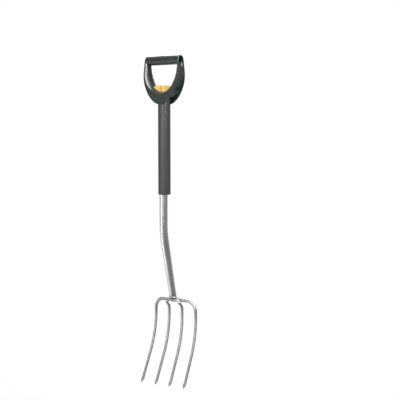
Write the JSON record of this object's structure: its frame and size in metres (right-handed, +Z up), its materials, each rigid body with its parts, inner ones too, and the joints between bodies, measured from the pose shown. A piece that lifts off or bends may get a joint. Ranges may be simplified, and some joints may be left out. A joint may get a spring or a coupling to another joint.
{
  "type": "telescopic garden fork",
  "caption": "Telescopic garden fork: a moulded D handle with a release button, an oval sleeve, a cranked steel shaft that slides out of it and a head of long curved tines.",
  "frame": {"origin": "the middle of the grip bar's underside, where the fork hangs on a hook", "axes": "+Z up along the sleeve towards the grip, X along the grip bar, the tines curve towards -Y, which is the front"},
  "size_m": [0.1838, 0.0817, 1.0437],
  "materials": {
    "dark_plastic": "dark grey-green moulded plastic with a fine satin grain",
    "orange_plastic": "orange moulded plastic, half gloss",
    "black_plastic": "black moulded plastic",
    "shaft_steel": "bright drawn steel tube",
    "tine_steel": "satin forged steel",
    "spring_steel": "bright spring steel and zinc-plated small parts"
  },
  "bodies": {
    "handle": {"handle_frame": "dark_plastic", "outer_sleeve": "dark_plastic", "neck_pin": "spring_steel", "rod_guide": "black_plastic", "rod_guide_rivet": "shaft_steel", "latch_block": "black_plastic", "latch_leaf": "spring_steel", "latch_rivet_upper": "shaft_steel", "latch_rivet_lower": "shaft_steel", "lower_guide_bush": "black_plastic", "bush_rivet": "shaft_steel", "return_spring": "spring_steel"},
    "fork": {"steel_shaft": "shaft_steel", "shaft_top_plug": "black_plastic", "plug_pin": "spring_steel", "outer_tine_bar": "tine_steel", "inner_tine_bar": "tine_steel", "weld_ring": "tine_steel", "weld_bead_upper": "tine_steel", "weld_bead_lower": "tine_steel"},
    "button": {"release_button": "orange_plastic", "push_rod": "spring_steel", "rod_screw": "spring_steel"}
  },
  "joints": [
    {"name": "telescope", "type": "slide", "parent": "handle", "child": "fork", "axis": [0, 0, -1], "range_m": [0, 0.2], "deforming": ["latch_leaf"]},
    {"name": "button_press", "type": "slide", "parent": "handle", "child": "button", "axis": [0, 0, -1], "range_m": [0, 0.008], "stiffness_N_per_m": 600, "springref_m": -0.002, "deforming": ["return_spring", "latch_leaf"]}
  ]
}
